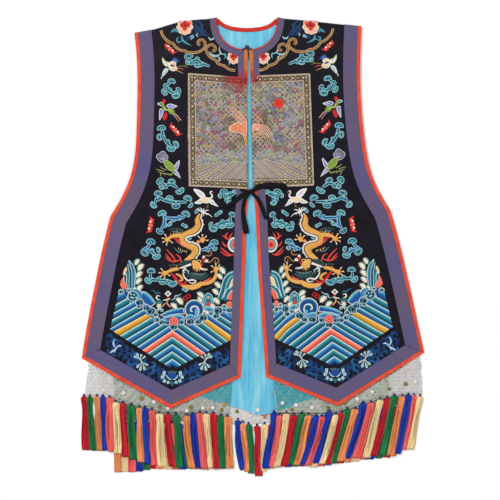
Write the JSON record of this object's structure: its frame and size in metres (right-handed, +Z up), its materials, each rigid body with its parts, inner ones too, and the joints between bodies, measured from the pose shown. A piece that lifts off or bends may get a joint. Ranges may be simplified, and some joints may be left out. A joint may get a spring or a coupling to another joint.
{
  "type": "xiapei vest",
  "caption": "Sleeveless open-fronted embroidered court vest laid flat, with a rank badge, banded pointed hems, beaded nets and silk tassels.",
  "frame": {"origin": "centre of the footprint of the garment laid flat, on the surface it rests on", "axes": "+Y towards the collar, +X to the viewer's right, +Z up off the surface, out of the garment's front"},
  "size_m": [0.8208, 1.1008, 0.0138],
  "materials": {
    "satin": "embroidered silk satin, soft sheen",
    "back_satin": "plain silk satin, soft sheen",
    "band": "damask ribbon, satin",
    "piping": "silk bias binding, satin",
    "placket": "silk braid, matte",
    "lining": "plain silk tabby, matte",
    "binding": "silk bias binding, satin",
    "badge": "silk and metal-thread embroidery",
    "trim": "couched metal-wrapped thread",
    "ribbon": "ribbed silk ribbon, soft sheen",
    "knot": "silk cord, soft sheen",
    "net": "knotted silk cord, matte",
    "tassel": "silk floss, soft sheen"
  },
  "bodies": {
    "root": {"left_front": "satin", "left_side_band": "band", "left_hem_band": "band", "left_opening_band": "band", "left_side_piping": "piping", "left_hem_piping": "piping", "left_opening_piping": "piping", "left_placket_piping": "placket", "left_neck_piping": "binding", "left_neck_band": "band", "left_placket_band": "band", "left_badge": "badge", "left_collar_trim": "trim", "left_net": "net", "left_tassels": "tassel", "right_front": "satin", "right_side_band": "band", "right_hem_band": "band", "right_opening_band": "band", "right_side_piping": "piping", "right_hem_piping": "piping", "right_opening_piping": "piping", "right_placket_piping": "placket", "right_neck_piping": "binding", "right_neck_band": "band", "right_placket_band": "band", "right_badge": "badge", "right_collar_trim": "trim", "right_net": "net", "right_tassels": "tassel", "back_panel": "back_satin", "back_left_band": "band", "back_hem_band": "band", "back_right_band": "band", "back_left_piping": "piping", "back_hem_piping": "piping", "back_right_piping": "piping", "back_lining": "lining", "back_neck_binding": "binding", "back_net": "net", "back_tassels": "tassel", "tie": "ribbon", "neck_button": "knot"}
  },
  "joints": []
}
